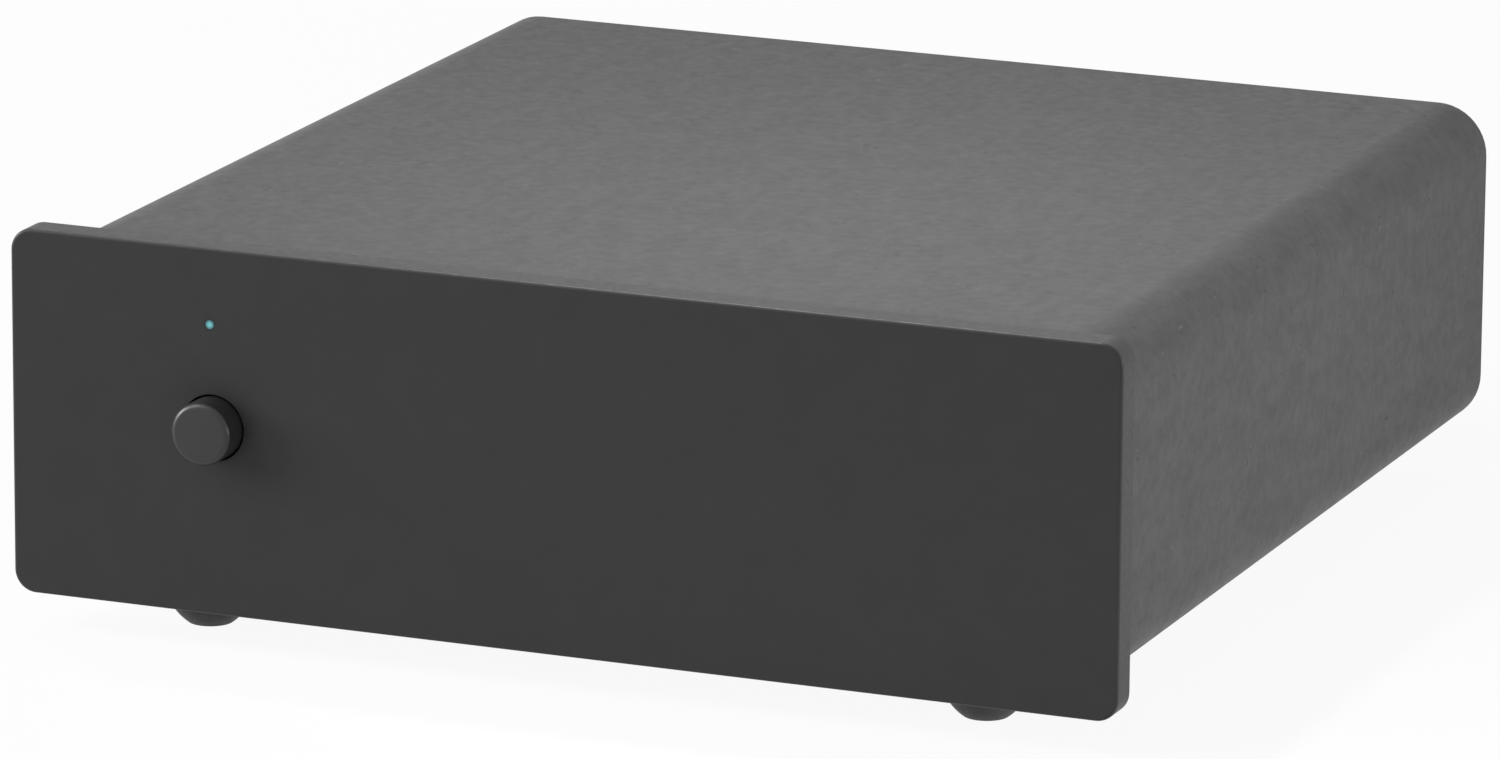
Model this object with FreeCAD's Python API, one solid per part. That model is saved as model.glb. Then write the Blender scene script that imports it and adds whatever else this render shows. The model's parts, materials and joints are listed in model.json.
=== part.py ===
import FreeCAD, Part
import math
import os

# A compact phono preamp: a dark front panel on an extruded case, with everything fixed inside.
# X runs to the right seen from the front, Y runs from the front to the rear, Z is up.
# The origin is the middle of the footprint, on the surface that the feet stand on.

V = FreeCAD.Vector

# How far a cut runs past the surface that it opens
past = 1.0

# Front panel
panel_thick = 2.9
panel_corner = 2.0
panel_edge_break = 0.3
panel_beyond_side = 1.6
panel_below_case = 1.4
panel_above_case = 1.2

# Case: an extruded sleeve with screw blocks in its corners and a rail over the board
case_width = 99.8
case_height = 30.2
case_length = 98.6
case_corner = 4.7
case_wall = 2.0
corner_block = 5.4
rail_thick = 1.2
rail_reach = 2.5

# Plates that close the case's two ends
carrier_thick = 2.0
rear_thick = 1.6
rear_inset = 0.5
plate_play = 0.15

# Screws
screw_radius = 1.2
screw_play = 0.05
screw_length = 8.0
sunk_head_radius = 2.1
sunk_head_height = 1.1
round_head_radius = 2.2
round_head_height = 1.5
round_head_edge = 0.4
key_radius = 0.85
key_depth = 0.8
panel_screw_radius = 0.95
panel_screw_head_radius = 1.9
panel_screw_head_height = 1.3
panel_screw_bite = 2.0
panel_screw_from_side = 9.9

# Feet
foot_height = 4.6
foot_top_radius = 4.2
foot_sole_radius = 2.0
foot_bulge_radius = 3.45
foot_bulge_height = 1.6
foot_from_side = 13.4
foot_from_face = 8.5
foot_from_rear = 8.5

# Power button and its switch
button_from_edge = 19.3
button_above_panel_foot = 16.8
button_radius = 2.8
button_out = 2.7
button_play = 0.2
button_edge = 0.55
button_behind_carrier = 1.5
button_travel = 2.0
stem_size = 2.0
stem_play = 0.025
stem_grip = 4.0
plunger_guide_play = 0.08
plunger_plate_size = 4.6
plunger_plate_thick = 1.2
switch_width = 8.0
switch_above_axis = 4.0
switch_wall = 1.0
switch_gap = 0.5
spring_radius = 1.5
spring_wire = 0.2
spring_turns = 5
spring_length = 5.0
carrier_button_play = 0.8

# Status light
led_from_edge = 19.1
led_below_panel_top = 6.8
pipe_tip_radius = 0.45
pipe_tip_play = 0.05
pipe_body_radius = 1.1
pipe_body_play = 0.1
pipe_behind_carrier = 1.0
led_radius = 1.5
led_length = 4.2
led_rim_radius = 1.9
led_rim_thick = 0.9
led_hold_play = 0.05
led_leg_pitch = 2.54
led_leg_size = 0.5
led_leg_behind = 1.0
bracket_deep = 2.6
bracket_wall = 1.3
bracket_side_play = 0.3
bracket_above_led = 2.4
bracket_top_play = 0.4

# Main board
board_thick = 1.6
board_side_play = 0.3
board_front_gap = 1.0
board_rear_gap = 0.4
board_rail_play = 0.2

# Sockets for the signal leads
jack_sides = {"input_left": 36.0, "input_right": 22.0, "output_left": -5.0, "output_right": -19.0}
shell_radius = 4.15
shell_tail_radius = 3.8
shell_bore = 3.4
shell_out = 9.5
shell_seat = 4.0
shell_play = 0.05
shell_hole_play = 0.15
shell_edge = 0.4
insulator_set_back = 0.8
contact_radius = 2.1
contact_bore = 1.65
contact_set_back = 1.2
contact_bore_deep = 8.2
jack_block_margin = 6.0
jack_block_deep = 11.0
jack_block_above_axis = 6.0
jack_block_round = 0.6
bushing_play = 0.02

# Power inlet
inlet_from_side = 11.9
inlet_block_width = 9.4
inlet_block_deep = 13.0
inlet_block_above_axis = 5.0
inlet_nose_radius = 3.9
inlet_nose_play = 0.15
inlet_nose_out = 0.3
inlet_bore = 2.9
inlet_bore_deep = 9.5
inlet_pin_radius = 1.05
inlet_pin_tail_radius = 0.7
inlet_pin_round = 0.35
inlet_pin_set_back = 1.0
inlet_pin_seat = 1.5
leaf_width = 1.6
leaf_thick = 0.3
leaf_length = 7.0
leaf_play = 0.1

# Ground terminal
ground_side = 8.5
stud_radius = 1.95
thread_pitch = 0.7
thread_depth = 0.25
stud_out = 15.3
stud_in = 4.4
collar_radius = 4.6
collar_thick = 2.0
stud_hole_play = 0.25
washer_radius = 4.3
washer_thick = 0.8
thumb_radius = 4.6
thumb_length = 7.5
thumb_flutes = 24
thumb_flute_radius = 0.32
thumb_play = 0.05
thumb_edge = 0.4
tag_thick = 0.5
tag_radius = 3.4
tag_tail_width = 3.0
inner_nut_across = 7.0
inner_nut_thick = 2.4
inner_nut_play = 0.05

# Setting switches under the board
dip_ways = 4
dip_pitch = 2.54
dip_end = 0.8
dip_deep = 6.6
dip_height = 4.2
dip_gap = 3.0
dip_row_y = 0.0
lever_width = 1.1
lever_length = 1.6
lever_out = 0.8
lever_root = 1.9
lever_travel = 1.3
lever_play = 0.1
window_margin = 1.0
window_deep = 6.0
window_corner = 1.0

# Parts on the board
big_can_radius = 4.0
big_can_height = 11.0
big_can_rim = 0.5
film_width = 7.2
film_deep = 3.0
film_height = 6.5
film_round = 0.4
chip_length = 9.4
chip_width = 6.4
chip_height = 3.3
chip_stand = 0.5
chip_pins = 4
chip_pin_pitch = 2.54
chip_pin_width = 0.5
chip_pin_thick = 0.3
chip_pin_root = 0.2
resistor_radius = 1.15
resistor_length = 6.0
resistor_stand = 0.3
resistor_lead = 0.5
resistor_lead_reach = 1.8
regulator_width = 10.0
regulator_deep = 4.4
regulator_height = 6.4
regulator_tab_deep = 1.2
regulator_tab_height = 3.6
regulator_tab_hole = 1.1
regulator_leg = 0.8
regulator_leg_pitch = 2.54
regulator_stand = 1.0
diode_radius = 1.3
diode_length = 5.0
choke_radius = 5.5
choke_height = 8.0
choke_flange = 1.2
choke_waist = 3.8

# Places of the parts on the board: the supply's from its left edge, the two channels' from the middle
can_from_edge = 7.6
can_pitch = 12.0
can_row_y = 5.0
regulator_from_edge = 7.6
regulator_pitch = 13.0
regulator_y = -8.0
diode_x = -12.0
diode_row_y = -6.0
diode_pitch = 5.0
choke_y = 22.0
channel_xs = [6.0, 30.0]
film_beside_channel = 4.0
film_row_y = 10.0
film_pitch = 6.0
chip_row_y = -20.0
chip_pitch = 14.0
resistor_rows_y = [-36.0, 2.0]
resistor_pitch = 4.0

# Levels and stations worked out from the sizes above
case_z0 = foot_height
case_z1 = case_z0 + case_height
panel_z0 = case_z0 - panel_below_case
panel_z1 = case_z1 + panel_above_case
panel_half = case_width / 2 + panel_beyond_side
depth_total = button_out + panel_thick + case_length - rear_inset + stud_out
face_y = button_out - depth_total / 2
case_y0 = face_y + panel_thick
case_y1 = case_y0 + case_length
carrier_back = case_y0 + carrier_thick
rear_face = case_y1 - rear_inset
rear_inner = rear_face - rear_thick
half_in = case_width / 2 - case_wall
floor_z = case_z0 + case_wall
ceiling_z = case_z1 - case_wall
axis_z = (case_z0 + case_z1) / 2
in_corner = case_corner - case_wall
board_z0 = floor_z + corner_block
board_z1 = board_z0 + board_thick
board_y0 = carrier_back + board_front_gap
board_y1 = rear_inner - board_rear_gap
board_half = half_in - board_side_play
screw_x = half_in - corner_block / 2
screw_zs = [floor_z + corner_block / 2, ceiling_z - corner_block / 2]
panel_screw_side = case_width / 2 - panel_screw_from_side
foot_side = case_width / 2 - foot_from_side
inlet_side = inlet_from_side - case_width / 2
button_side = button_from_edge - panel_half
led_side = led_from_edge - panel_half
button_z = panel_z0 + button_above_panel_foot
led_z = panel_z1 - led_below_panel_top


def box(x0, x1, y0, y1, z0, z1):
    return Part.makeBox(x1 - x0, y1 - y0, z1 - z0, V(x0, y0, z0))


def rod_y(x, z, radius, y0, y1):
    return Part.makeCylinder(radius, y1 - y0, V(x, y0, z), V(0, 1, 0))


def rod_z(x, y, radius, z0, z1):
    return Part.makeCylinder(radius, z1 - z0, V(x, y, z0), V(0, 0, 1))


def rod_x(y, z, radius, x0, x1):
    return Part.makeCylinder(radius, x1 - x0, V(x0, y, z), V(1, 0, 0))


def cone_y(x, z, radius0, radius1, y0, y1):
    return Part.makeCone(radius0, radius1, y1 - y0, V(x, y0, z), V(0, 1, 0))


def edges_along(shape, axis):
    """The straight edges of a shape that run along an axis."""
    found = []
    for edge in shape.Edges:
        run = edge.Vertexes[-1].Point - edge.Vertexes[0].Point
        if run.Length > 1e-6 and abs(run.dot(axis)) > 0.999 * run.Length:
            found.append(edge)
    return found


def edges_at(shape, axis, level):
    """The edges of a shape that lie in the plane across an axis at a level."""
    return [e for e in shape.Edges if all(abs(v.Point.dot(axis) - level) < 1e-6 for v in e.Vertexes)
            and abs(e.CenterOfMass.dot(axis) - level) < 1e-6]


def bar_y(half_width, z0, z1, corner, y0, y1):
    """A bar along Y whose section is a rectangle with round corners."""
    bar = box(-half_width, half_width, y0, y1, z0, z1)
    return bar.makeFillet(corner, edges_along(bar, V(0, 1, 0)))


def save(node, *solids):
    shape = solids[0] if len(solids) == 1 else Part.makeCompound(list(solids))
    os.makedirs("parts", exist_ok=True)
    shape.exportStep("parts/" + node + ".step")


def corner_points():
    return [(side * screw_x, z) for side in (-1, 1) for z in screw_zs]


def front_panel():
    panel = bar_y(panel_half, panel_z0, panel_z1, panel_corner, face_y, case_y0)
    panel = panel.makeFillet(panel_edge_break, edges_at(panel, V(0, 1, 0), face_y))
    cuts = [rod_y(button_side, button_z, button_radius + button_play, face_y - past, case_y0 + past),
            rod_y(led_side, led_z, pipe_tip_radius + pipe_tip_play, face_y - past, case_y0 + past)]
    for side in (-1, 1):
        hole = panel_screw_radius + screw_play
        cuts.append(rod_y(side * panel_screw_side, axis_z, hole,
                          case_y0 - panel_screw_bite, case_y0 + past))
    return panel.cut(cuts)


def end_plate(y0, y1):
    return bar_y(half_in - plate_play, floor_z + plate_play, ceiling_z - plate_play,
                 in_corner - plate_play, y0, y1)


def front_carrier():
    plate = end_plate(case_y0, carrier_back)
    button_hole = button_radius + carrier_button_play
    cuts = [rod_y(button_side, button_z, button_hole, case_y0 - past, carrier_back + past),
            rod_y(led_side, led_z, pipe_body_radius + pipe_body_play, case_y0 - past, carrier_back + past)]
    for x, z in corner_points():
        shank = screw_radius + screw_play
        head = sunk_head_radius + screw_play
        cuts.append(rod_y(x, z, shank, case_y0 - past, carrier_back + past))
        cuts.append(cone_y(x, z, head, shank, case_y0, case_y0 + sunk_head_height))
    for side in (-1, 1):
        hole = panel_screw_radius + screw_play
        cuts.append(rod_y(side * panel_screw_side, axis_z, hole, case_y0 - past, carrier_back + past))
    return plate.cut(cuts)


def window_half():
    """Half the width of the opening in the case's floor, over both blocks of switches."""
    return dip_gap / 2 + dip_width() + window_margin


def case_sleeve():
    sleeve = bar_y(case_width / 2, case_z0, case_z1, case_corner, case_y0, case_y1)
    middle = bar_y(half_in, floor_z, ceiling_z, in_corner, carrier_back, rear_inner)
    keep = []
    for side in (-1, 1):
        for z0 in (floor_z, ceiling_z - corner_block):
            x0, x1 = sorted((side * (half_in - corner_block), side * (half_in + past)))
            z_out = z0 - 1 if z0 == floor_z else z0
            z_top = z0 + corner_block if z0 == floor_z else ceiling_z + 1
            keep.append(box(x0, x1, carrier_back - past, rear_inner + past, z_out, z_top))
        x0, x1 = sorted((side * (half_in - rail_reach), side * (half_in + past)))
        rail_z0 = board_z1 + board_rail_play
        keep.append(box(x0, x1, carrier_back - past, rear_inner + past, rail_z0, rail_z0 + rail_thick))
    cavity = [middle.cut(keep),
              bar_y(half_in, floor_z, ceiling_z, in_corner, case_y0 - past, carrier_back),
              bar_y(half_in, floor_z, ceiling_z, in_corner, rear_inner, case_y1 + past)]
    sleeve = sleeve.cut(cavity)
    cuts = []
    for x, z in corner_points():
        hole = screw_radius + screw_play
        cuts.append(rod_y(x, z, hole, carrier_back - past, case_y0 + screw_length + past))
        cuts.append(rod_y(x, z, hole, rear_face - screw_length - past, rear_inner + past))
    window = box(-window_half(), window_half(), dip_row_y - window_deep / 2, dip_row_y + window_deep / 2,
                 case_z0 - past, floor_z + past)
    cuts.append(window.makeFillet(window_corner, edges_along(window, V(0, 0, 1))))
    return sleeve.cut(cuts)


def rear_panel():
    plate = end_plate(rear_inner, rear_face)
    cuts = [rod_y(x, z, screw_radius + screw_play, rear_inner - past, rear_face + past)
            for x, z in corner_points()]
    for x in jack_sides.values():
        cuts.append(rod_y(x, axis_z, shell_radius + shell_hole_play, rear_inner - past, rear_face + past))
    cuts.append(rod_y(inlet_side, axis_z, inlet_nose_radius + inlet_nose_play,
                      rear_inner - past, rear_face + past))
    cuts.append(rod_y(ground_side, axis_z, stud_radius + stud_hole_play,
                      rear_inner - past, rear_face + past))
    return plate.cut(cuts)


def key_recess(x, z, y0, y1):
    """A six-sided recess for a key, along Y."""
    corners = [V(x + key_radius * math.cos(math.radians(60 * i)), y0,
                 z + key_radius * math.sin(math.radians(60 * i))) for i in range(7)]
    return Part.Face(Part.makePolygon(corners)).extrude(V(0, y1 - y0, 0))


def carrier_screw(x, z):
    head = cone_y(x, z, sunk_head_radius, screw_radius, case_y0, case_y0 + sunk_head_height)
    shank = rod_y(x, z, screw_radius, case_y0, case_y0 + screw_length)
    return head.fuse(shank).cut(key_recess(x, z, case_y0 - past, case_y0 + key_depth))


def rear_screw(x, z):
    head = rod_y(x, z, round_head_radius, rear_face, rear_face + round_head_height)
    head = head.makeFillet(round_head_edge, edges_at(head, V(0, 1, 0), rear_face + round_head_height))
    shank = rod_y(x, z, screw_radius, rear_face - screw_length, rear_face + round_head_height / 2)
    top = rear_face + round_head_height
    return head.fuse(shank).cut(key_recess(x, z, top - key_depth, top + past))


def panel_screw(x):
    shank = rod_y(x, axis_z, panel_screw_radius, case_y0 - panel_screw_bite,
                  carrier_back + panel_screw_head_height / 2)
    head = rod_y(x, axis_z, panel_screw_head_radius, carrier_back, carrier_back + panel_screw_head_height)
    return head.fuse(shank)


def foot(x, y):
    """A soft dome foot, narrow at the sole, stuck to the case's floor."""
    points = [V(0, 0, 0), V(foot_sole_radius, 0, 0), V(foot_bulge_radius, 0, foot_bulge_height),
              V(foot_top_radius, 0, foot_height), V(0, 0, foot_height)]
    side = Part.Arc(points[1], points[2], points[3]).toShape()
    outline = Part.Wire([Part.makeLine(points[0], points[1]), side, Part.makeLine(points[3], points[4]),
                         Part.makeLine(points[4], points[0])])
    dome = Part.Face(outline).revolve(V(0, 0, 0), V(0, 0, 1), 360)
    dome.translate(V(x, y, 0))
    return dome


def button_back():
    return carrier_back + button_behind_carrier


def power_button():
    cap = rod_y(button_side, button_z, button_radius, face_y - button_out, button_back())
    cap = cap.makeFillet(button_edge, edges_at(cap, V(0, 1, 0), face_y - button_out))
    half = stem_size / 2 + stem_play
    socket = box(button_side - half, button_side + half, button_back() - stem_grip, button_back() + past,
                 button_z - half, button_z + half)
    return cap.cut(socket)


def switch_front():
    return button_back() + button_travel + switch_gap


def plunger_plate_y():
    return switch_front() + switch_wall


def switch_plunger():
    half = stem_size / 2
    stem = box(button_side - half, button_side + half, button_back() - stem_grip,
               plunger_plate_y() + plunger_plate_thick / 2, button_z - half, button_z + half)
    wide = plunger_plate_size / 2
    plate = box(button_side - wide, button_side + wide, plunger_plate_y(),
                plunger_plate_y() + plunger_plate_thick, button_z - wide, button_z + wide)
    return stem.fuse(plate)


def spring_y():
    return plunger_plate_y() + plunger_plate_thick


def switch_back():
    return spring_y() + spring_length + switch_wall


def power_switch_body():
    body = box(button_side - switch_width / 2, button_side + switch_width / 2, switch_front(), switch_back(),
               board_z1, button_z + switch_above_axis)
    room = plunger_plate_size / 2 + plunger_guide_play
    hollow = box(button_side - room, button_side + room, switch_front() + switch_wall,
                 switch_back() - switch_wall, button_z - room, button_z + room)
    guide = stem_size / 2 + plunger_guide_play
    slot = box(button_side - guide, button_side + guide, switch_front() - past,
               switch_front() + switch_wall + past, button_z - guide, button_z + guide)
    return body.cut([hollow, slot])


def switch_spring():
    """A coil spring between the plunger's plate and the back of the switch."""
    rise = spring_length - 2 * spring_wire
    helix = Part.makeHelix(rise / spring_turns, rise, spring_radius)
    start = Part.Circle(V(spring_radius, 0, 0), V(0, 1, 0), spring_wire).toShape()
    coil = Part.Wire(helix.Edges).makePipeShell([Part.Wire(start)], True, True)
    coil.rotate(V(0, 0, 0), V(1, 0, 0), -90)
    coil.translate(V(button_side, spring_y() + spring_wire, button_z))
    return coil


def light_pipe():
    tip = rod_y(led_side, led_z, pipe_tip_radius, face_y, (case_y0 + pipe_back()) / 2)
    body = rod_y(led_side, led_z, pipe_body_radius, case_y0, pipe_back())
    return tip.fuse(body)


def pipe_back():
    return carrier_back + pipe_behind_carrier


def led_back():
    return pipe_back() + led_length


def status_led():
    dome_end = pipe_back() + led_radius
    dome = Part.makeSphere(led_radius, V(led_side, dome_end, led_z))
    dome = dome.common(box(led_side - led_radius, led_side + led_radius, pipe_back(), dome_end,
                           led_z - led_radius, led_z + led_radius))
    body = rod_y(led_side, led_z, led_radius, dome_end, led_back())
    rim = rod_y(led_side, led_z, led_rim_radius, led_back() - led_rim_thick, led_back())
    return dome.fuse([body, rim]).removeSplitter()


def led_bracket():
    """A bridge over the power switch that holds the light at the panel's height."""
    inner = switch_width / 2 + bracket_side_play
    outer = inner + bracket_wall
    y1 = led_back() - led_rim_thick
    y0 = y1 - bracket_deep
    top = led_z + bracket_above_led
    bridge_z = button_z + switch_above_axis + bracket_top_play
    bridge = box(button_side - outer, button_side + outer, y0, y1, board_z1, top)
    arch = box(button_side - inner, button_side + inner, y0 - past, y1 + past, board_z1 - past, bridge_z)
    hole = rod_y(led_side, led_z, led_radius + led_hold_play, y0 - past, y1 + past)
    return bridge.cut([arch, hole])


def led_legs():
    """Two wires from the light, back over the switch and down to the board."""
    legs = []
    turn_y = max(switch_back(), led_back()) + led_leg_behind
    for side in (-1, 1):
        x0 = led_side + side * led_leg_pitch / 2 - led_leg_size / 2
        x1 = x0 + led_leg_size
        along = box(x0, x1, led_back(), turn_y + led_leg_size,
                    led_z - led_leg_size / 2, led_z + led_leg_size / 2)
        down = box(x0, x1, turn_y, turn_y + led_leg_size, board_z1, led_z)
        legs.append(along.fuse(down))
    return legs


def main_board():
    return box(-board_half, board_half, board_y0, board_y1, board_z0, board_z1)


def jack_shell(x):
    end = rear_face + shell_out
    barrel = rod_y(x, axis_z, shell_radius, rear_face, end)
    barrel = barrel.makeFillet(shell_edge, edges_at(barrel, V(0, 1, 0), end))
    tail = rod_y(x, axis_z, shell_tail_radius, rear_inner - shell_seat, rear_face)
    return barrel.fuse(tail).cut(rod_y(x, axis_z, shell_bore, rear_inner - shell_seat - past, end + past))


def jack_insulator(x):
    end = rear_face + shell_out - insulator_set_back
    plug = rod_y(x, axis_z, shell_bore - bushing_play, rear_inner - shell_seat, end)
    return plug.cut(rod_y(x, axis_z, contact_radius + bushing_play,
                          rear_inner - shell_seat - past, end + past))


def jack_contact(x):
    end = rear_face + shell_out - contact_set_back
    tube = rod_y(x, axis_z, contact_radius, rear_inner - shell_seat, end)
    return tube.cut(rod_y(x, axis_z, contact_bore, end - contact_bore_deep, end + past))


def jack_housing(first, second):
    """The moulded block behind the rear panel that holds a pair of sockets on the board."""
    x0, x1 = sorted((jack_sides[first], jack_sides[second]))
    block = box(x0 - jack_block_margin, x1 + jack_block_margin, rear_inner - jack_block_deep, rear_inner,
                board_z1, axis_z + jack_block_above_axis)
    block = block.makeFillet(jack_block_round, edges_along(block, V(0, 1, 0)))
    seats = [rod_y(x, axis_z, shell_tail_radius + shell_play, rear_inner - shell_seat, rear_inner + past)
             for x in (x0, x1)]
    return block.cut(seats)


def power_jack_housing():
    half = inlet_block_width / 2
    block = box(inlet_side - half, inlet_side + half, rear_inner - inlet_block_deep, rear_inner,
                board_z1, axis_z + inlet_block_above_axis)
    nose = rod_y(inlet_side, axis_z, inlet_nose_radius, rear_inner - past, inlet_end())
    bore = rod_y(inlet_side, axis_z, inlet_bore, inlet_floor(), inlet_end() + past)
    seat = rod_y(inlet_side, axis_z, inlet_pin_tail_radius,
                 inlet_floor() - inlet_pin_seat, inlet_floor() + past)
    slot_half = leaf_width / 2 + leaf_play
    slot = box(inlet_side - slot_half, inlet_side + slot_half, inlet_floor(),
               inlet_floor() + leaf_length + leaf_play, axis_z - inlet_bore - leaf_thick, axis_z)
    return block.fuse(nose).cut([bore, seat, slot])


def inlet_end():
    return rear_face + inlet_nose_out


def inlet_floor():
    return inlet_end() - inlet_bore_deep


def power_jack_pin():
    end = inlet_end() - inlet_pin_set_back
    pin = rod_y(inlet_side, axis_z, inlet_pin_radius, inlet_floor(), end)
    pin = pin.makeFillet(inlet_pin_round, edges_at(pin, V(0, 1, 0), end))
    return pin.fuse(rod_y(inlet_side, axis_z, inlet_pin_tail_radius,
                          inlet_floor() - inlet_pin_seat, inlet_floor()))


def power_jack_leaf():
    return box(inlet_side - leaf_width / 2, inlet_side + leaf_width / 2, inlet_floor(),
               inlet_floor() + leaf_length, axis_z - inlet_bore - leaf_thick, axis_z - inlet_bore)


def threaded_rod(y0, y1):
    """A rod along Y with ring grooves one thread pitch apart, chamfered at the free end."""
    tip = stud_radius - thread_depth
    points = [V(0, y0, 0), V(stud_radius, y0, 0)]
    turns = int((y1 - y0 - thread_pitch) / thread_pitch)
    start = y1 - thread_pitch / 2 - turns * thread_pitch
    points.append(V(stud_radius, start, 0))
    for i in range(turns):
        y = start + i * thread_pitch
        points.append(V(tip, y + thread_pitch / 2, 0))
        points.append(V(stud_radius, y + thread_pitch, 0))
    points.append(V(tip - thread_depth / 2, y1, 0))
    points.append(V(0, y1, 0))
    points.append(points[0])
    return Part.Face(Part.makePolygon(points)).revolve(V(0, 0, 0), V(0, 1, 0), 360)


def ground_stud():
    rod = threaded_rod(rear_inner - stud_in, rear_face + stud_out)
    rod.translate(V(ground_side, 0, axis_z))
    collar = rod_y(ground_side, axis_z, collar_radius, rear_face, rear_face + collar_thick)
    return rod.fuse(collar)


def ring_y(x, z, outer, inner, y0, y1):
    return rod_y(x, z, outer, y0, y1).cut(rod_y(x, z, inner, y0 - past, y1 + past))


def washer_y():
    return rear_face + collar_thick


def ground_washer():
    return ring_y(ground_side, axis_z, washer_radius, stud_radius + thumb_play, washer_y(),
                  washer_y() + washer_thick)


def ground_thumb_nut():
    y0 = washer_y() + washer_thick
    nut = rod_y(ground_side, axis_z, thumb_radius, y0, y0 + thumb_length)
    nut = nut.makeChamfer(thumb_edge, edges_at(nut, V(0, 1, 0), y0 + thumb_length))
    cuts = [rod_y(ground_side, axis_z, stud_radius + thumb_play, y0 - past, y0 + thumb_length + past)]
    for i in range(thumb_flutes):
        turn = 2 * math.pi * i / thumb_flutes
        cuts.append(rod_y(ground_side + thumb_radius * math.cos(turn), axis_z + thumb_radius * math.sin(turn),
                          thumb_flute_radius, y0 - past, y0 + thumb_length + past))
    return nut.cut(cuts)


def tag_y():
    return rear_inner - tag_thick


def ground_tag():
    """A flat tag round the stud whose tail is soldered to the board."""
    plate = rod_y(ground_side, axis_z, tag_radius, tag_y(), rear_inner)
    tail = box(ground_side - tag_tail_width / 2, ground_side + tag_tail_width / 2, tag_y(), rear_inner,
               board_z1, axis_z)
    hole = rod_y(ground_side, axis_z, stud_radius + inner_nut_play, tag_y() - past, rear_inner + past)
    return plate.fuse(tail).cut(hole)


def ground_nut():
    corner = inner_nut_across / math.sqrt(3)
    y1 = tag_y()
    y0 = y1 - inner_nut_thick
    points = [V(ground_side + corner * math.cos(math.radians(60 * i)), y0,
                axis_z + corner * math.sin(math.radians(60 * i))) for i in range(7)]
    nut = Part.Face(Part.makePolygon(points)).extrude(V(0, y1 - y0, 0))
    return nut.cut(rod_y(ground_side, axis_z, stud_radius + inner_nut_play, y0 - past, y1 + past))


def dip_width():
    return dip_ways * dip_pitch + 2 * dip_end


def dip_centre(side):
    return side * (dip_gap + dip_width()) / 2


def lever_x(side, way):
    return dip_centre(side) + (way - (dip_ways - 1) / 2) * dip_pitch


def lever_y0():
    return dip_row_y - (lever_length + lever_travel) / 2


def dip_body(side):
    """A block of small slide switches that hangs under the board."""
    x = dip_centre(side)
    z0 = board_z0 - dip_height
    block = box(x - dip_width() / 2, x + dip_width() / 2, dip_row_y - dip_deep / 2, dip_row_y + dip_deep / 2,
                z0, board_z0)
    slots = []
    for way in range(dip_ways):
        half = lever_width / 2 + lever_play
        middle = lever_x(side, way)
        slots.append(box(middle - half, middle + half, lever_y0() - lever_play,
                         lever_y0() + lever_length + lever_travel + lever_play,
                         z0 - past, z0 + lever_root + lever_play))
    return block.cut(slots)


def dip_lever(side, way):
    x = lever_x(side, way)
    z0 = board_z0 - dip_height
    return box(x - lever_width / 2, x + lever_width / 2, lever_y0(), lever_y0() + lever_length,
               z0 - lever_out, z0 + lever_root)


def big_can(x, y):
    can = rod_z(x, y, big_can_radius, board_z1, board_z1 + big_can_height)
    return can.makeFillet(big_can_rim, edges_at(can, V(0, 0, 1), board_z1 + big_can_height))


def film_block(x, y):
    block = box(x - film_width / 2, x + film_width / 2, y - film_deep / 2, y + film_deep / 2,
                board_z1, board_z1 + film_height)
    return block.makeFillet(film_round, edges_along(block, V(0, 0, 1)))


def chip(x, y):
    """An amplifier chip with two rows of legs, lengthwise along X."""
    z0 = board_z1 + chip_stand
    shape = box(x - chip_length / 2, x + chip_length / 2, y - chip_width / 2, y + chip_width / 2,
                z0, z0 + chip_height)
    legs = []
    for side in (-1, 1):
        for i in range(chip_pins):
            px = x + (i - (chip_pins - 1) / 2) * chip_pin_pitch
            inner, outer = sorted((y + side * (chip_width / 2 - chip_pin_root),
                                   y + side * (chip_width / 2 + chip_pin_thick)))
            legs.append(box(px - chip_pin_width / 2, px + chip_pin_width / 2, inner, outer,
                            board_z1, z0 + chip_height / 2))
    return shape.fuse(legs)


def axial(x, y, radius, length):
    """A part with a lead at each end, bent down to the board, lying along X."""
    z = board_z1 + resistor_stand + radius
    reach = length / 2 + resistor_lead_reach
    half = resistor_lead / 2
    wire = box(x - reach, x + reach, y - half, y + half, z - half, z + half)
    ends = [box(x - reach, x - reach + resistor_lead, y - half, y + half, board_z1, z),
            box(x + reach - resistor_lead, x + reach, y - half, y + half, board_z1, z)]
    return rod_x(y, z, radius, x - length / 2, x + length / 2).fuse([wire] + ends)


def regulator(x, y):
    """An upright regulator with a metal tab behind it and three legs."""
    z0 = board_z1 + regulator_stand
    body = box(x - regulator_width / 2, x + regulator_width / 2, y - regulator_deep / 2, y + regulator_deep / 2,
               z0, z0 + regulator_height)
    tab_y = y + regulator_deep / 2 - regulator_tab_deep
    tab = box(x - regulator_width / 2, x + regulator_width / 2, tab_y, y + regulator_deep / 2,
              z0, z0 + regulator_height + regulator_tab_height)
    tab = tab.cut(rod_y(x, z0 + regulator_height + regulator_tab_height / 2, regulator_tab_hole,
                        tab_y - past, y + regulator_deep / 2 + past))
    legs = []
    for i in (-1, 0, 1):
        lx = x + i * regulator_leg_pitch
        legs.append(box(lx - regulator_leg / 2, lx + regulator_leg / 2, y - regulator_leg / 2,
                        y + regulator_leg / 2, board_z1, z0 + regulator_leg))
    return body.fuse([tab] + legs)


def choke(x, y):
    low = rod_z(x, y, choke_radius, board_z1, board_z1 + choke_flange)
    waist = rod_z(x, y, choke_waist, board_z1, board_z1 + choke_height)
    high = rod_z(x, y, choke_radius, board_z1 + choke_height - choke_flange, board_z1 + choke_height)
    return low.fuse([waist, high])


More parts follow.
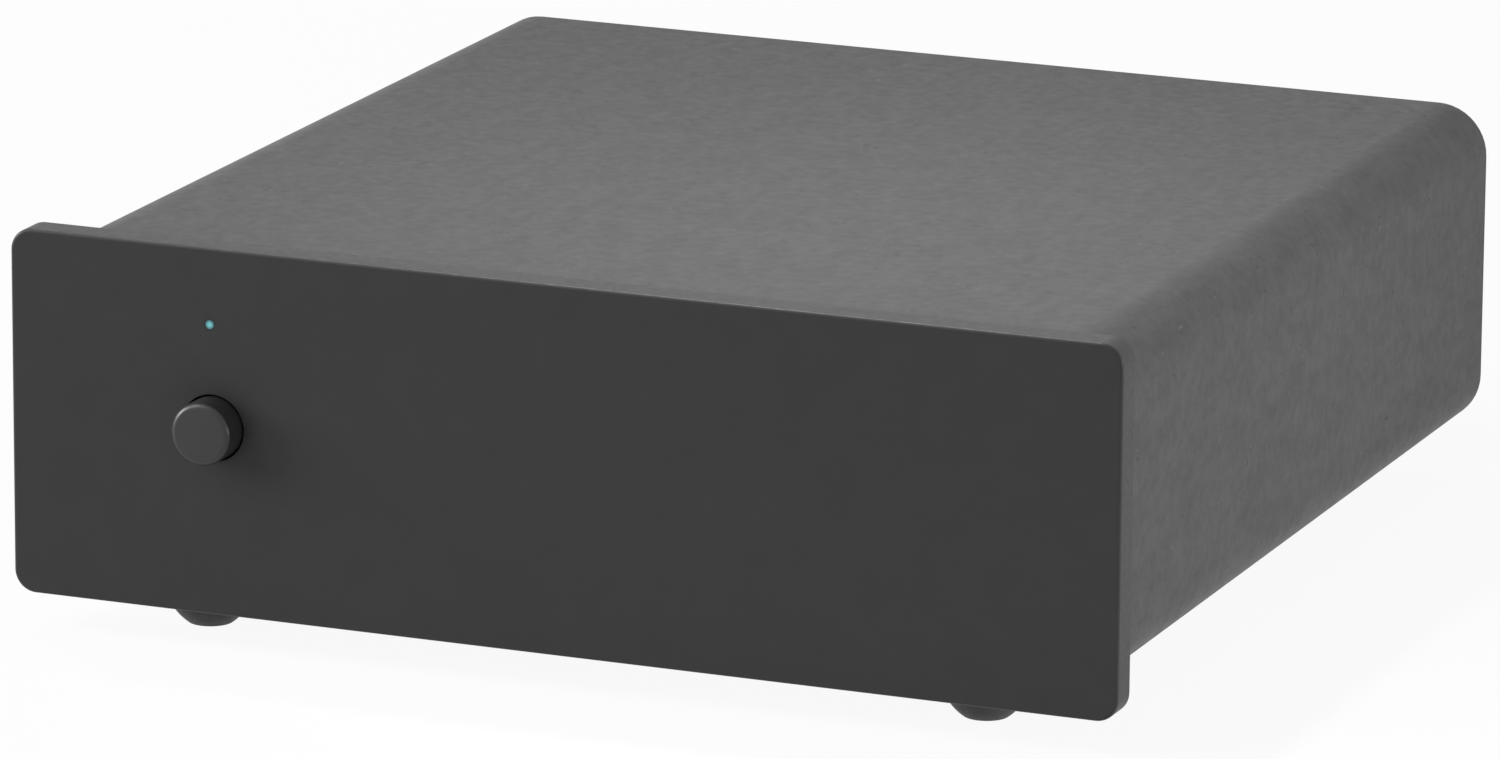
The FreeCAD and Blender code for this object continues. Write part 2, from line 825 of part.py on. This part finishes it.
def save_case():
    save("front_panel", front_panel())
    save("front_carrier", front_carrier())
    save("case_sleeve", case_sleeve())
    save("rear_panel", rear_panel())
    save("carrier_screws", *[carrier_screw(x, z) for x, z in corner_points()])
    save("rear_panel_screws", *[rear_screw(x, z) for x, z in corner_points()])
    save("front_panel_screws", *[panel_screw(side * panel_screw_side) for side in (-1, 1)])
    for name, side in (("left", -1), ("right", 1)):
        save("foot_front_" + name, foot(side * foot_side, face_y + foot_from_face))
        save("foot_rear_" + name, foot(side * foot_side, case_y1 - foot_from_rear))


def save_front_controls():
    save("power_button", power_button())
    save("switch_plunger", switch_plunger())
    save("power_switch_body", power_switch_body())
    save("switch_spring", switch_spring())
    save("light_pipe", light_pipe())
    save("status_led", status_led())
    save("led_bracket", led_bracket())
    save("led_legs", *led_legs())


def save_rear_sockets():
    for name, x in jack_sides.items():
        save(name + "_shell", jack_shell(x))
        save(name + "_insulator", jack_insulator(x))
        save(name + "_contact", jack_contact(x))
    save("input_jack_housing", jack_housing("input_left", "input_right"))
    save("output_jack_housing", jack_housing("output_left", "output_right"))
    save("power_jack_housing", power_jack_housing())
    save("power_jack_pin", power_jack_pin())
    save("power_jack_leaf", power_jack_leaf())
    save("ground_stud", ground_stud())
    save("ground_washer", ground_washer())
    save("ground_thumb_nut", ground_thumb_nut())
    save("ground_tag", ground_tag())
    save("ground_nut", ground_nut())


def rows(first, pitch, count):
    return [first + i * pitch for i in range(count)]


def grid(xs, ys):
    return [(x, y) for x in xs for y in ys]


def save_board():
    save("main_board", main_board())
    for name, side in (("left", -1), ("right", 1)):
        save("dip_block_" + name, dip_body(side))
        for way in range(dip_ways):
            save("dip_lever_" + name + "_" + str(way + 1), dip_lever(side, way))
    cans = grid([can_from_edge - board_half + i * can_pitch for i in range(2)], rows(can_row_y, can_pitch, 2))
    save("reservoir_capacitors", *[big_can(x, y) for x, y in cans])
    films = grid([channel_xs[0] - film_beside_channel, channel_xs[1] + film_beside_channel],
                 rows(film_row_y, film_pitch, 3))
    save("film_capacitors", *[film_block(x, y) for x, y in films])
    save("amplifier_chips", *[chip(x, y) for x, y in grid(channel_xs, rows(chip_row_y, chip_pitch, 2))])
    resistor_rows = rows(resistor_rows_y[0], resistor_pitch, 3) + rows(resistor_rows_y[1], resistor_pitch, 2)
    save("resistors", *[axial(x, y, resistor_radius, resistor_length)
                        for x, y in grid(channel_xs, resistor_rows)])
    first = regulator_from_edge - board_half
    save("voltage_regulators", *[regulator(first + i * regulator_pitch, regulator_y) for i in range(2)])
    save("rectifier_diodes", *[axial(diode_x, y, diode_radius, diode_length)
                               for y in rows(diode_row_y, diode_pitch, 4)])
    save("supply_choke", choke(diode_x, choke_y))


save_case()
save_front_controls()
save_rear_sockets()
save_board()
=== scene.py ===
import json
import math

import bpy
from mathutils import Matrix, Vector


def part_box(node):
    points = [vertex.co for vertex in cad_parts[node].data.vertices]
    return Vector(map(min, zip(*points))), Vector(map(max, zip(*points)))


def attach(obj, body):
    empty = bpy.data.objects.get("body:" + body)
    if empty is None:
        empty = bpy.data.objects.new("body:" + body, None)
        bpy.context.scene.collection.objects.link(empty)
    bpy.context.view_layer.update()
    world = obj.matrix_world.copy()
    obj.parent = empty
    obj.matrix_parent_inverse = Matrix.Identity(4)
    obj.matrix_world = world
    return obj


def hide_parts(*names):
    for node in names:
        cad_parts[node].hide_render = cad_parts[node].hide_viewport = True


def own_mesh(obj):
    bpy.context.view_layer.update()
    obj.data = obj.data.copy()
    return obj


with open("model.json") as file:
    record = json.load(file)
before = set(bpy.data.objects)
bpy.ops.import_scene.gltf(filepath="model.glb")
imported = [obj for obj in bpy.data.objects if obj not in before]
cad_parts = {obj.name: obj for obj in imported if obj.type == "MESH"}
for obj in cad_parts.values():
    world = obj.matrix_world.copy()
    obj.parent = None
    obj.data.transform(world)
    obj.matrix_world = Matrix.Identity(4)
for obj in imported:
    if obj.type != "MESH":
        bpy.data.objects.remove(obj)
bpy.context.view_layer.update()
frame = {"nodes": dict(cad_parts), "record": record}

MM = 0.001

# The photograph's camera, worked out from the edges of the panel and the case
PHOTO_WIDTH = 1500
CAMERA_FOCAL_PIXELS = 9996.8
CAMERA_YAW = math.radians(22.21)
CAMERA_PITCH = math.radians(14.534)
CAMERA_ROLL = math.radians(0.397)
CAMERA_PLACE = Vector((0.32696, -0.81347, 0.24148))
SENSOR_WIDTH = 36.0
CLIP_START = 0.01

# Light levels
WORLD_DIFFUSE = 0.25
WORLD_SEEN = 1.0
FLOOR_SEEN = 0.93
FLOOR_COLOUR = (0.8, 0.8, 0.8, 1.0)
FLOOR_ROUGHNESS = 0.9
FLOOR_HALF = 3.0
FLOOR_DROP = 0.00005

# Where the lamps point, and the lamps: name, place, width and height, watts, and whether gloss shows them
MIDDLE = (0.0, 0.0, 0.02)
SOFT_LAMPS = (
    ("key_light", (-0.6, -0.5, 0.8), (0.6, 0.6), 5.0, True),
    ("left_light", (-0.9, -0.3, 0.3), (0.5, 0.4), 8.7, True),
    ("right_light", (0.9, 0.0, 0.12), (0.5, 0.2), 2.6, True),
    ("rear_light", (0.2, 1.0, 0.1), (0.6, 0.2), 4.0, False),
)
# Spots that brighten the front of the top and of the side: name, place, target, degrees across, watts
SPOT_LAMPS = (
    ("top_spot", (-0.35, 0.25, 0.9), (0.022, -0.036, 0.035), 7.5, 60.0),
    ("side_spot", (0.95, 0.02, 0.1), (0.05, -0.034, 0.033), 5.0, 42.0),
)
SPOT_RADIUS = 0.06

# The part of a noise's values that a ramp spreads out: the wider it is, the softer the blotches
SOFT = (0.3, 0.7)
EVEN = (0.35, 0.65)
CRISP = (0.38, 0.62)

# Coats: how their blotches and flecks are drawn out along the case
COAT_STRETCH = (1.0, 0.42, 1.0)
SPECK_STRETCH = (1.0, 0.5, 1.0)
# Wide clouds on a coat: their size against its blotches, and their tone against its lighter one
CLOUD_SIZE = 6.0
CLOUD_TONE = 1.3
# The tops of its fine grain: where they start and are full, how much they show, and their tone
GRAIN_TOPS = (0.35, 0.75)
GRAIN_SHARE = 0.35
GRAIN_TONE = 1.25
# How far its roughness changes either way, and over what size against its grain
SHEEN_CHANGE = 0.04
SHEEN_SIZE = 3.0
# Flecks: the patches that hold them, their noise's size against the fleck's and where it turns into a fleck
PATCH_SIZE = 9.0
PATCH_EDGE = (0.5, 0.62)
DARK_FLECKS = (1.0, 0.34)
PALE_FLECKS = (1.37, 0.30)
FLECK_SOFTNESS = 0.05

# Light guides: where their glow starts to fade and where it has faded, as shares of the radius
GLOW_CORE = 0.35
GLOW_RIM = 0.9

# Sizes in metres, and shares and counts, of the pieces made here: radii, pitch, collar and wire are
# those of the CAD model
PIPE_TIP_RADIUS = 0.45 * MM
LED_RADIUS = 1.5 * MM
STUD_RADIUS = 1.95 * MM
THREAD_PITCH = 0.7 * MM
THREAD_DEPTH = 0.38 * MM
THREAD_CREST = 0.14
THREAD_TIP = 0.35 * MM
THREAD_SIDES = 48
THREAD_ROWS = 10
SHARP_ANGLE = math.radians(30.0)
COLLAR_THICK = 2.0 * MM
COLLAR_EDGE = 0.3 * MM
COLLAR_INSIDE = 0.8
SPRING_WIRE = 0.2 * MM
SPRING_TURNS = 5
SPRING_STEPS = 28
SPRING_CLOSING = 0.35
WIRE_SIDES = 10

# The board's tracks, laid out as the joints of a brick wall whose rows are shifted and some narrowed
TRACK_LENGTH = 9.3 * MM
TRACK_PITCH = 2.54 * MM
TRACK_WIDTH = 0.18 * MM
TRACK_HEIGHT = 0.04 * MM
TRACK_SHIFT = 0.37
TRACK_NARROWED = 0.6
TRACK_NARROWED_ROWS = 3


def grey(level):
    """A colour with equal red, green and blue."""
    return (level, level, level, 1.0)


def seen_share(tree):
    """A socket that is one for rays from the camera, from gloss and through glass, and zero for the rest."""
    path = tree.nodes.new("ShaderNodeLightPath")
    share = path.outputs["Is Camera Ray"]
    for ray in ("Is Glossy Ray", "Is Transmission Ray"):
        either = tree.nodes.new("ShaderNodeMath")
        either.operation = "MAXIMUM"
        tree.links.new(share, either.inputs[0])
        tree.links.new(path.outputs[ray], either.inputs[1])
        share = either.outputs[0]
    return share


def blend_shaders(tree, share, first, second, out):
    """Sends two shaders to an output, mixed by a share."""
    blend = tree.nodes.new("ShaderNodeMixShader")
    for source, socket in zip((share, first, second), blend.inputs):
        tree.links.new(source, socket)
    tree.links.new(blend.outputs[0], out.inputs["Surface"])


class Graph:
    """A material's node tree with a few short calls to build it."""

    def __init__(self, name):
        self.material = bpy.data.materials.new(name)
        self.material.use_nodes = True
        self.tree = self.material.node_tree
        self.tree.nodes.clear()
        self.out = self.tree.nodes.new("ShaderNodeOutputMaterial")
        self.shader = self.tree.nodes.new("ShaderNodeBsdfPrincipled")
        self.join(self.shader.outputs["BSDF"], self.out.inputs["Surface"])
        self.place = self.tree.nodes.new("ShaderNodeTexCoord").outputs["Object"]

    def join(self, source, target):
        """Links an output socket to an input socket."""
        self.tree.links.new(source, target)

    def set_plain(self, **values):
        """Sets constant values on the shader's own sockets."""
        for name, value in values.items():
            self.shader.inputs[name.replace("_", " ")].default_value = value

    def node(self, kind, **settings):
        """A new node with its settings, such as the operation of a math node."""
        made = self.tree.nodes.new(kind)
        for key, value in settings.items():
            setattr(made, key, value)
        return made

    def noise(self, size, detail=2.0, roughness=0.5, stretch=None):
        """Noise with blotches about size metres across, drawn out along axes whose stretch is under one."""
        made = self.node("ShaderNodeTexNoise")
        made.inputs["Scale"].default_value = 1.0 / size
        made.inputs["Detail"].default_value = detail
        made.inputs["Roughness"].default_value = roughness
        source = self.place
        if stretch:
            drawn_out = self.node("ShaderNodeMapping")
            drawn_out.inputs["Scale"].default_value = stretch
            self.join(self.place, drawn_out.inputs["Vector"])
            source = drawn_out.outputs["Vector"]
        self.join(source, made.inputs["Vector"])
        return made.outputs["Fac"]

    def ramp(self, source, low, high, low_out=0.0, high_out=1.0):
        """Maps the stretch from low to high onto low_out to high_out, held at its ends."""
        made = self.node("ShaderNodeMapRange")
        made.inputs["From Min"].default_value = low
        made.inputs["From Max"].default_value = high
        made.inputs["To Min"].default_value = low_out
        made.inputs["To Max"].default_value = high_out
        self.join(source, made.inputs["Value"])
        return made.outputs["Result"]

    def mix(self, factor, first, second):
        """Mixes two colours, each a colour or a socket, by a factor socket."""
        made = self.node("ShaderNodeMix", data_type="RGBA")
        self.join(factor, made.inputs[0])
        for value, index in ((first, 6), (second, 7)):
            if isinstance(value, tuple):
                made.inputs[index].default_value = value
            else:
                self.join(value, made.inputs[index])
        return made.outputs[2]

    def bump(self, height, distance):
        """Raises the surface by distance where the height is one."""
        made = self.node("ShaderNodeBump")
        made.inputs["Strength"].default_value = 1.0
        made.inputs["Distance"].default_value = distance
        self.join(height, made.inputs["Height"])
        return made.outputs["Normal"]


def coat(name, dark, light, roughness, grain, depth, specular=0.5, blotch=4 * MM, contrast=0.1):
    """A sprayed coat: soft blotches of two close tones, drawn out along the case, and a fine grain."""
    g = Graph(name)
    tone = g.mix(g.ramp(g.noise(blotch, 3.0, 0.6, COAT_STRETCH), *CRISP), grey(dark), grey(light))
    clouds = g.noise(blotch * CLOUD_SIZE, 1.0, 0.5, COAT_STRETCH)
    wide = g.ramp(clouds, *SOFT, high_out=contrast)
    tone = g.mix(wide, tone, grey(light * CLOUD_TONE))
    fine = g.noise(grain, 2.0, 0.6)
    tone = g.mix(g.ramp(fine, *GRAIN_TOPS, high_out=GRAIN_SHARE), tone, grey(light * GRAIN_TONE))
    g.join(tone, g.shader.inputs["Base Color"])
    sheen = g.ramp(g.noise(grain * SHEEN_SIZE), *SOFT, roughness - SHEEN_CHANGE, roughness + SHEEN_CHANGE)
    g.join(sheen, g.shader.inputs["Roughness"])
    g.join(g.bump(fine, depth), g.shader.inputs["Normal"])
    g.set_plain(Specular_IOR_Level=specular)
    return g


def speckled(g, size, dark, light):
    """Adds sparse dark and pale flecks to a coat, each a little drawn out along the case."""
    tone = g.shader.inputs["Base Color"].links[0].from_socket
    patch = g.ramp(g.noise(size * PATCH_SIZE, 1.0), *PATCH_EDGE)
    for (width, edge), level in ((DARK_FLECKS, dark), (PALE_FLECKS, light)):
        fleck = g.noise(size * width, 1.5, 0.5, SPECK_STRETCH)
        mask = g.node("ShaderNodeMath", operation="MULTIPLY")
        g.join(g.ramp(fleck, edge, edge - FLECK_SOFTNESS), mask.inputs[0])
        g.join(patch, mask.inputs[1])
        tone = g.mix(mask.outputs[0], tone, grey(level))
    g.join(tone, g.shader.inputs["Base Color"])
    return g


def moulded(name, colour, roughness, depth=0.02 * MM, grain=0.4 * MM, change=0.12):
    """Moulded plastic or rubber: a fine grain and slight changes of tone."""
    g = Graph(name)
    deeper = tuple(c * (1.0 - change) for c in colour[:3]) + (1.0,)
    lighter = tuple(min(1.0, c * (1.0 + change)) for c in colour[:3]) + (1.0,)
    g.join(g.mix(g.ramp(g.noise(4 * MM), *EVEN), deeper, lighter), g.shader.inputs["Base Color"])
    fine = g.noise(grain)
    g.join(g.bump(fine, depth), g.shader.inputs["Normal"])
    g.join(g.ramp(fine, *SOFT, roughness - 0.05, roughness + 0.05), g.shader.inputs["Roughness"])
    return g.material


def circuit_board(name, mask, track):
    """Solder mask over copper: straight tracks show through it a little paler and stand up slightly."""
    g = Graph(name)
    lines = g.node("ShaderNodeTexBrick", offset=TRACK_SHIFT, squash=TRACK_NARROWED,
                   squash_frequency=TRACK_NARROWED_ROWS)
    lines.inputs["Scale"].default_value = 1.0
    lines.inputs["Brick Width"].default_value = TRACK_LENGTH
    lines.inputs["Row Height"].default_value = TRACK_PITCH
    lines.inputs["Mortar Size"].default_value = TRACK_WIDTH
    g.join(g.place, lines.inputs["Vector"])
    ground = g.mix(g.ramp(g.noise(6 * MM), *EVEN), mask, tuple(c * 1.25 for c in mask[:3]) + (1.0,))
    g.join(g.mix(lines.outputs["Fac"], ground, track), g.shader.inputs["Base Color"])
    g.join(g.bump(lines.outputs["Fac"], TRACK_HEIGHT), g.shader.inputs["Normal"])
    g.join(g.ramp(g.noise(MM), *SOFT, 0.26, 0.36), g.shader.inputs["Roughness"])
    return g.material


def metal(name, colour, roughness, lines=(1.0, 1.0, 1.0), depth=0.004 * MM):
    """Plated or bare metal with fine tool lines, which lie close along the axis where lines is large."""
    g = Graph(name)
    deeper = tuple(c * 0.82 for c in colour[:3]) + (1.0,)
    g.join(g.mix(g.ramp(g.noise(3 * MM, 3.0), 0.35, 0.7), colour, deeper), g.shader.inputs["Base Color"])
    drawn = g.noise(0.3 * MM, 3.0, 0.6, lines)
    g.join(g.bump(drawn, depth), g.shader.inputs["Normal"])
    g.join(g.ramp(drawn, *SOFT, roughness - 0.06, roughness + 0.08), g.shader.inputs["Roughness"])
    g.set_plain(Metallic=1.0)
    return g.material


def light_guide(name, rim, middle, node, radius, glow):
    """Clear plastic that carries a light: it glows along its axis and darkens towards its rim."""
    g = Graph(name)
    low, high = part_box(node)
    across = g.node("ShaderNodeMapping")
    across.inputs["Location"].default_value = (-(low[0] + high[0]) / 2, 0.0, -(low[2] + high[2]) / 2)
    g.join(g.place, across.inputs["Vector"])
    flat = g.node("ShaderNodeVectorMath", operation="MULTIPLY")
    flat.inputs[1].default_value = (1.0, 0.0, 1.0)
    g.join(across.outputs["Vector"], flat.inputs[0])
    away = g.node("ShaderNodeVectorMath", operation="LENGTH")
    g.join(flat.outputs["Vector"], away.inputs[0])
    share = g.ramp(away.outputs["Value"], radius * GLOW_CORE, radius * GLOW_RIM)
    tone = g.mix(share, middle, rim)
    tone = g.mix(g.ramp(g.noise(0.3 * MM, 1.0), *SOFT, high_out=0.2), tone, rim)
    g.join(tone, g.shader.inputs["Base Color"])
    g.join(tone, g.shader.inputs["Emission Color"])
    g.set_plain(Roughness=0.3, Emission_Strength=glow)
    return g.material


def stage_material():
    """A floor that the camera and reflections see as near white, with the object's shadow kept."""
    g = Graph("floor_white")
    g.set_plain(Base_Color=FLOOR_COLOUR, Roughness=FLOOR_ROUGHNESS, Specular_IOR_Level=0.0)
    glow = g.node("ShaderNodeEmission")
    glow.inputs["Color"].default_value = grey(1.0)
    share = g.node("ShaderNodeMath", operation="MULTIPLY")
    g.join(seen_share(g.tree), share.inputs[0])
    share.inputs[1].default_value = FLOOR_SEEN
    blend_shaders(g.tree, share.outputs[0], g.shader.outputs["BSDF"], glow.outputs[0], g.out)
    return g.material


def build_materials():
    """One material for each slot of the record, by the slot's name."""
    return {
        "panel_coat": coat("panel_coat", 0.028, 0.030, roughness=0.46, grain=0.22 * MM, depth=0.004 * MM,
                           specular=0.22, contrast=0.04).material,
        "case_coat": speckled(coat("case_coat", 0.042, 0.054, roughness=0.5, grain=0.4 * MM,
                                   depth=0.014 * MM, specular=0.2, blotch=2.2 * MM),
                              size=0.5 * MM, dark=0.028, light=0.085).material,
        "rear_coat": coat("rear_coat", 0.020, 0.024, roughness=0.45, grain=0.3 * MM, depth=0.01 * MM,
                          specular=0.45).material,
        "bare_aluminium": metal("bare_aluminium", (0.72, 0.72, 0.73, 1.0), 0.34, (1.0, 1.0, 14.0)),
        "zinc_steel": metal("zinc_steel", (0.62, 0.63, 0.64, 1.0), 0.3),
        "black_steel": coat("black_steel", 0.018, 0.026, roughness=0.32, grain=0.2 * MM, depth=0.004 * MM,
                            blotch=2 * MM).material,
        "foot_rubber": moulded("foot_rubber", grey(0.022), 0.62, depth=0.03 * MM),
        "button_coat": coat("button_coat", 0.024, 0.027, roughness=0.34, grain=0.2 * MM, depth=0.003 * MM,
                            specular=0.4, contrast=0.04).material,
        "white_plastic": moulded("white_plastic", (0.72, 0.71, 0.67, 1.0), 0.4, change=0.05),
        "red_plastic": moulded("red_plastic", (0.5, 0.025, 0.02, 1.0), 0.4),
        "black_plastic": moulded("black_plastic", grey(0.025), 0.45),
        "clear_plastic": light_guide("clear_plastic", (0.02, 0.045, 0.05, 1.0), (0.12, 0.42, 0.45, 1.0),
                                     "light_pipe", PIPE_TIP_RADIUS, 0.35),
        "lamp_plastic": light_guide("lamp_plastic", (0.06, 0.24, 0.26, 1.0), (0.12, 0.5, 0.54, 1.0),
                                    "status_led", LED_RADIUS, 0.5),
        "nickel": metal("nickel", (0.68, 0.66, 0.61, 1.0), 0.2, (1.0, 30.0, 1.0)),
        "gilt": metal("gilt", (0.83, 0.61, 0.26, 1.0), 0.22, (1.0, 30.0, 1.0)),
        "board_green": circuit_board("board_green", (0.010, 0.07, 0.03, 1.0), (0.03, 0.16, 0.07, 1.0)),
        "dip_plastic": moulded("dip_plastic", (0.012, 0.04, 0.17, 1.0), 0.4),
        "can_sleeve": moulded("can_sleeve", (0.012, 0.012, 0.02, 1.0), 0.28),
        "film_plastic": moulded("film_plastic", (0.42, 0.03, 0.02, 1.0), 0.3),
        "chip_plastic": moulded("chip_plastic", grey(0.02), 0.55),
        "resistor_coat": moulded("resistor_coat", (0.08, 0.2, 0.38, 1.0), 0.3),
        "ferrite": moulded("ferrite", grey(0.04), 0.6),
    }


def dress_nodes(materials):
    """Gives every carried-over node the material of its slot."""
    slots = {row["node"]: row["material_slot"] for row in frame["record"]["subparts"]}
    for name, node in frame["nodes"].items():
        node.data.materials.clear()
        node.data.materials.append(materials[slots[name]])


def new_piece(name, points, faces, material, smooth=True):
    """A mesh object with one material, in the scene."""
    mesh = bpy.data.meshes.new(name)
    mesh.from_pydata(points, [], faces)
    mesh.update()
    for face in mesh.polygons:
        face.use_smooth = smooth
    piece = bpy.data.objects.new(name, mesh)
    bpy.context.scene.collection.objects.link(piece)
    mesh.materials.append(material)
    return piece


def smooth_by_angle(piece, angle):
    """Shades a mesh smooth, with sharp edges where two faces meet at more than an angle."""
    for face in piece.data.polygons:
        face.use_smooth = True
    piece.data.set_sharp_from_angle(angle=angle)


def ring_of_points(centre_x, y, centre_z, radii):
    """Points round an axis along Y, one for each radius, from straight up towards +X."""
    turns = [2 * math.pi * side / len(radii) for side in range(len(radii))]
    return [(centre_x + radius * math.sin(turn), y, centre_z + radius * math.cos(turn))
            for radius, turn in zip(radii, turns)]


def quads_between(first_row, second_row, sides):
    """The faces between two rings of points that start at these numbers."""
    return [(first_row + side, first_row + (side + 1) % sides,
             second_row + (side + 1) % sides, second_row + side) for side in range(sides)]


def thread_depth_at(turns):
    """How deep the thread cuts, as a share, at a place counted in turns along the stud."""
    place = turns - math.floor(turns)
    return min(1.0, max(0.0, (abs(place - 0.5) - THREAD_CREST / 2) / (0.5 - THREAD_CREST)))


def build_ground_stud(material):
    """The ground stud with its collar and a right-handed thread that the thumb nut runs on."""
    low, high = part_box("ground_stud")
    collar_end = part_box("ground_washer")[0][1]
    centre_x, centre_z = (low[0] + high[0]) / 2, (low[2] + high[2]) / 2
    collar_start = collar_end - COLLAR_THICK
    collar_radius = (high[0] - low[0]) / 2
    points, faces = [], []
    steps = round((high[1] - low[1]) / THREAD_PITCH * THREAD_ROWS)
    for step in range(steps + 1):
        y = low[1] + (high[1] - low[1]) * step / steps
        tip_radius = STUD_RADIUS - max(0.0, THREAD_TIP - min(y - low[1], high[1] - y))
        cuts = [THREAD_DEPTH * thread_depth_at(y / THREAD_PITCH - side / THREAD_SIDES)
                for side in range(THREAD_SIDES)]
        radii = [min(STUD_RADIUS - cut, tip_radius) for cut in cuts]
        points += ring_of_points(centre_x, y, centre_z, radii)
    for step in range(steps):
        faces += quads_between(step * THREAD_SIDES, (step + 1) * THREAD_SIDES, THREAD_SIDES)
    faces.append(tuple(reversed(range(THREAD_SIDES))))
    faces.append(tuple(range(steps * THREAD_SIDES, (steps + 1) * THREAD_SIDES)))
    inside = STUD_RADIUS * COLLAR_INSIDE
    profile = [(collar_start, inside), (collar_start, collar_radius - COLLAR_EDGE),
               (collar_start + COLLAR_EDGE, collar_radius), (collar_end - COLLAR_EDGE, collar_radius),
               (collar_end, collar_radius - COLLAR_EDGE), (collar_end, inside)]
    base = len(points)
    for y, radius in profile:
        points += ring_of_points(centre_x, y, centre_z, [radius] * THREAD_SIDES)
    for row in range(len(profile)):
        following = (row + 1) % len(profile)
        faces += quads_between(base + row * THREAD_SIDES, base + following * THREAD_SIDES, THREAD_SIDES)
    stud = new_piece("ground_stud_threaded", points, faces, material)
    smooth_by_angle(stud, SHARP_ANGLE)
    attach(stud, "chassis")
    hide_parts("ground_stud")


def build_switch_spring(material):
    """The coil that returns the button: its end turns close up."""
    low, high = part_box("switch_spring")
    centre_x, centre_z = (low[0] + high[0]) / 2, (low[2] + high[2]) / 2
    coil_radius = (high[0] - low[0]) / 2 - SPRING_WIRE
    start, length = low[1] + SPRING_WIRE, high[1] - low[1] - 2 * SPRING_WIRE
    steps = SPRING_TURNS * SPRING_STEPS
    points, faces = [], []
    for step in range(steps + 1):
        share = step / steps
        even = share - SPRING_CLOSING * math.sin(4 * math.pi * share) / (4 * math.pi)
        turn = 2 * math.pi * SPRING_TURNS * share
        outward = Vector((math.sin(turn), 0.0, math.cos(turn)))
        centre = Vector((centre_x, start + length * even, centre_z)) + outward * coil_radius
        for side in range(WIRE_SIDES):
            round_wire = 2 * math.pi * side / WIRE_SIDES
            points.append(centre + outward * (SPRING_WIRE * math.cos(round_wire))
                          + Vector((0.0, SPRING_WIRE * math.sin(round_wire), 0.0)))
    for step in range(steps):
        faces += quads_between((step + 1) * WIRE_SIDES, step * WIRE_SIDES, WIRE_SIDES)
    faces.append(tuple(range(WIRE_SIDES)))
    faces.append(tuple(steps * WIRE_SIDES + side for side in reversed(range(WIRE_SIDES))))
    spring = new_piece("switch_return_spring", points, faces, material)
    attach(spring, "chassis")
    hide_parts("switch_spring")
    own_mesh(spring)


def build_camera():
    """The photograph's camera, looking along its yaw and pitch, and rolled a little."""
    forward = Vector((-math.sin(CAMERA_YAW) * math.cos(CAMERA_PITCH),
                      math.cos(CAMERA_YAW) * math.cos(CAMERA_PITCH), -math.sin(CAMERA_PITCH)))
    level = Vector((math.cos(CAMERA_YAW), math.sin(CAMERA_YAW), 0.0))
    upright = level.cross(forward)
    right = level * math.cos(CAMERA_ROLL) + upright * math.sin(CAMERA_ROLL)
    up = upright * math.cos(CAMERA_ROLL) - level * math.sin(CAMERA_ROLL)
    data = bpy.data.cameras.new("camera")
    data.sensor_width = SENSOR_WIDTH
    data.lens = CAMERA_FOCAL_PIXELS * SENSOR_WIDTH / PHOTO_WIDTH
    data.clip_start = CLIP_START
    camera = bpy.data.objects.new("camera", data)
    turn = Matrix((right, up, -forward)).transposed().to_4x4()
    camera.matrix_world = Matrix.Translation(CAMERA_PLACE) @ turn
    bpy.context.scene.collection.objects.link(camera)
    bpy.context.scene.camera = camera


def add_lamp(name, kind, place, target, watts):
    """A lamp at a place, turned to its target."""
    data = bpy.data.lights.new(name, kind)
    data.energy = watts
    light = bpy.data.objects.new(name, data)
    light.location = place
    light.rotation_euler = (Vector(target) - Vector(place)).to_track_quat("-Z", "Y").to_euler()
    bpy.context.scene.collection.objects.link(light)
    return light


def build_lamps():
    """The soft lamps round the object, and the spots that brighten a part of it."""
    for name, place, size, watts, mirrored in SOFT_LAMPS:
        light = add_lamp(name, "AREA", place, MIDDLE, watts)
        light.data.shape = "RECTANGLE"
        light.data.size, light.data.size_y = size
        light.visible_glossy = mirrored
    for name, place, target, degrees, watts in SPOT_LAMPS:
        light = add_lamp(name, "SPOT", place, target, watts)
        light.data.spot_size = math.radians(degrees)
        light.data.spot_blend = 1.0
        light.data.shadow_soft_size = SPOT_RADIUS
        light.visible_camera = False


def build_world():
    """A white surround for the camera and for gloss, which lights the object only weakly."""
    world = bpy.data.worlds.new("studio")
    bpy.context.scene.world = world
    world.use_nodes = True
    tree = world.node_tree
    tree.nodes.clear()
    out = tree.nodes.new("ShaderNodeOutputWorld")
    lights = []
    for strength in (WORLD_DIFFUSE, WORLD_SEEN):
        light = tree.nodes.new("ShaderNodeBackground")
        light.inputs["Color"].default_value = grey(1.0)
        light.inputs["Strength"].default_value = strength
        lights.append(light.outputs[0])
    blend_shaders(tree, seen_share(tree), lights[0], lights[1], out)


def build_floor():
    """A flat floor just below the feet, which isn't part of the object."""
    ways = ((-1, -1), (1, -1), (1, 1), (-1, 1))
    corners = [(x * FLOOR_HALF, y * FLOOR_HALF, -FLOOR_DROP) for x, y in ways]
    floor = new_piece("floor", corners, [(0, 1, 2, 3)], stage_material(), smooth=False)


materials = build_materials()
dress_nodes(materials)
build_ground_stud(materials["nickel"])
build_switch_spring(materials["zinc_steel"])
build_camera()
build_floor()
build_lamps()
build_world()
bpy.context.scene.view_settings.view_transform = "Standard"
